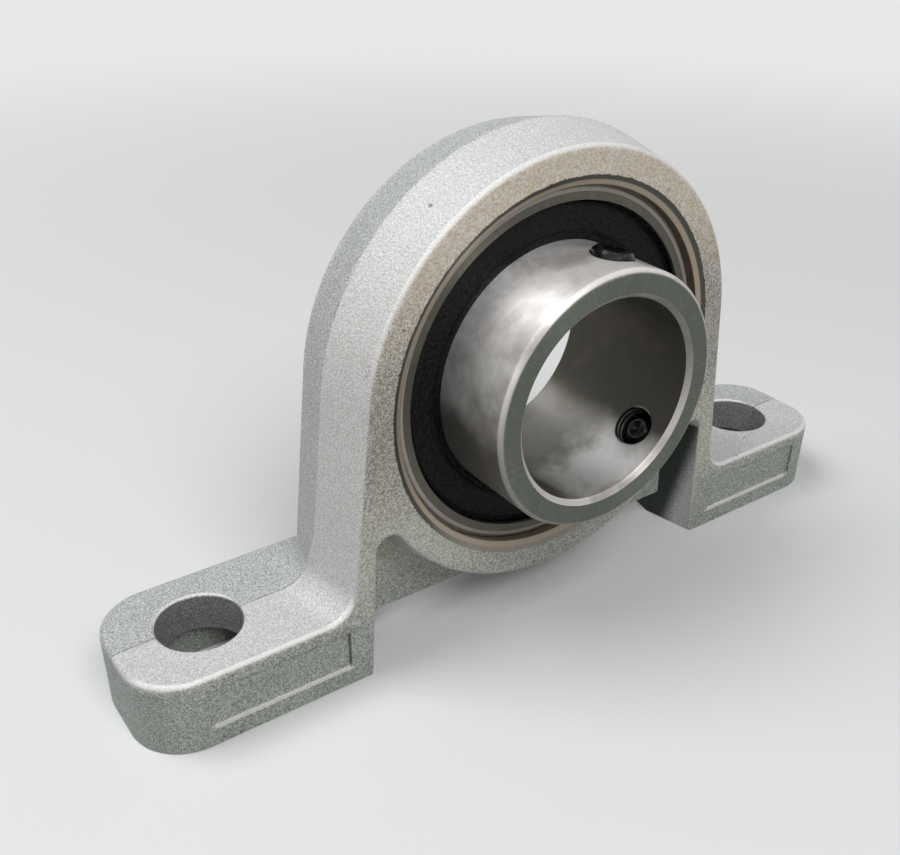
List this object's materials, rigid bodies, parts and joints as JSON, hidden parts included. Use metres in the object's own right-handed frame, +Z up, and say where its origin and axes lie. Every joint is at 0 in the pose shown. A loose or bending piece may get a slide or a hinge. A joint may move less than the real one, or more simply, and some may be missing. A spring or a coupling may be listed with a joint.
{
  "type": "pillow block bearing",
  "caption": "Foot-mounted die-cast bearing block with a self-aligning ball bearing insert whose wide inner ring is locked to a shaft by set screws.",
  "frame": {"origin": "centre of the bearing on the shaft axis, at its height above the mounting face", "axes": "+X along the feet, +Y along the shaft from the wide front end to the back, +Z up from the mounting face"},
  "size_m": [0.111, 0.0276, 0.0618],
  "materials": {
    "cast_housing": "bare die-cast zinc alloy with a fine matt grain",
    "ring_steel": "ground bearing steel",
    "ball_steel": "polished bearing steel",
    "cage_steel": "pressed sheet steel",
    "seal_rubber": "matt black moulded rubber",
    "black_steel": "black oxide steel"
  },
  "bodies": {
    "housing_body": {"housing": "cast_housing"},
    "outer_body": {"outer_ring": "ring_steel", "seal_front": "seal_rubber", "seal_front_core": "cage_steel", "seal_rear": "seal_rubber", "seal_rear_core": "cage_steel"},
    "inner_body": {"inner_ring": "ring_steel"},
    "cage_body": {"cage_front": "cage_steel", "cage_rear": "cage_steel", "cage_rivets": "cage_steel"},
    "ball_01_body": {"ball_01": "ball_steel"},
    "ball_02_body": {"ball_02": "ball_steel"},
    "ball_03_body": {"ball_03": "ball_steel"},
    "ball_04_body": {"ball_04": "ball_steel"},
    "ball_05_body": {"ball_05": "ball_steel"},
    "ball_06_body": {"ball_06": "ball_steel"},
    "ball_07_body": {"ball_07": "ball_steel"},
    "ball_08_body": {"ball_08": "ball_steel"},
    "ball_09_body": {"ball_09": "ball_steel"},
    "ball_10_body": {"ball_10": "ball_steel"},
    "screw_1_body": {"set_screw_1": "black_steel"},
    "screw_2_body": {"set_screw_2": "black_steel"}
  },
  "joints": [
    {"name": "self_align", "type": "hinge", "parent": "housing_body", "child": "outer_body", "pos_m": [0, 0, 0], "axis": [1, 0, 0], "range_deg": [-3, 3]},
    {"name": "inner_spin", "type": "hinge", "parent": "outer_body", "child": "inner_body", "pos_m": [0, 0, 0], "axis": [0, 1, 0], "continuous": true},
    {"name": "cage_spin", "type": "hinge", "parent": "outer_body", "child": "cage_body", "pos_m": [0, 0, 0], "axis": [0, 1, 0], "continuous": true},
    {"name": "ball_01_roll", "type": "hinge", "parent": "cage_body", "child": "ball_01_body", "pos_m": [0.018, 0, 0], "axis": [0, 1, 0], "continuous": true},
    {"name": "ball_02_roll", "type": "hinge", "parent": "cage_body", "child": "ball_02_body", "pos_m": [0.01456, 0, 0.01058], "axis": [0, 1, 0], "continuous": true},
    {"name": "ball_03_roll", "type": "hinge", "parent": "cage_body", "child": "ball_03_body", "pos_m": [0.00556, 0, 0.01712], "axis": [0, 1, 0], "continuous": true},
    {"name": "ball_04_roll", "type": "hinge", "parent": "cage_body", "child": "ball_04_body", "pos_m": [-0.00556, 0, 0.01712], "axis": [0, 1, 0], "continuous": true},
    {"name": "ball_05_roll", "type": "hinge", "parent": "cage_body", "child": "ball_05_body", "pos_m": [-0.01456, 0, 0.01058], "axis": [0, 1, 0], "continuous": true},
    {"name": "ball_06_roll", "type": "hinge", "parent": "cage_body", "child": "ball_06_body", "pos_m": [-0.018, 0, 0], "axis": [0, 1, 0], "continuous": true},
    {"name": "ball_07_roll", "type": "hinge", "parent": "cage_body", "child": "ball_07_body", "pos_m": [-0.01456, 0, -0.01058], "axis": [0, 1, 0], "continuous": true},
    {"name": "ball_08_roll", "type": "hinge", "parent": "cage_body", "child": "ball_08_body", "pos_m": [-0.00556, 0, -0.01712], "axis": [0, 1, 0], "continuous": true},
    {"name": "ball_09_roll", "type": "hinge", "parent": "cage_body", "child": "ball_09_body", "pos_m": [0.00556, 0, -0.01712], "axis": [0, 1, 0], "continuous": true},
    {"name": "ball_10_roll", "type": "hinge", "parent": "cage_body", "child": "ball_10_body", "pos_m": [0.01456, 0, -0.01058], "axis": [0, 1, 0], "continuous": true},
    {"name": "set_screw_1_travel", "type": "slide", "parent": "inner_body", "child": "screw_1_body", "axis": [0.1908, 0, 0.9816], "range_m": [-0.0001, 0.0015]},
    {"name": "set_screw_2_travel", "type": "slide", "parent": "inner_body", "child": "screw_2_body", "axis": [0.7547, 0, -0.6561], "range_m": [-0.0008, 0.0015]}
  ],
  "couplings": [
    {"joint": "cage_spin", "follows": "inner_spin", "ratio": 0.41181},
    {"joint": "ball_01_roll", "follows": "inner_spin", "ratio": -2.7464},
    {"joint": "ball_02_roll", "follows": "inner_spin", "ratio": -2.7464},
    {"joint": "ball_03_roll", "follows": "inner_spin", "ratio": -2.7464},
    {"joint": "ball_04_roll", "follows": "inner_spin", "ratio": -2.7464},
    {"joint": "ball_05_roll", "follows": "inner_spin", "ratio": -2.7464},
    {"joint": "ball_06_roll", "follows": "inner_spin", "ratio": -2.7464},
    {"joint": "ball_07_roll", "follows": "inner_spin", "ratio": -2.7464},
    {"joint": "ball_08_roll", "follows": "inner_spin", "ratio": -2.7464},
    {"joint": "ball_09_roll", "follows": "inner_spin", "ratio": -2.7464},
    {"joint": "ball_10_roll", "follows": "inner_spin", "ratio": -2.7464}
  ]
}
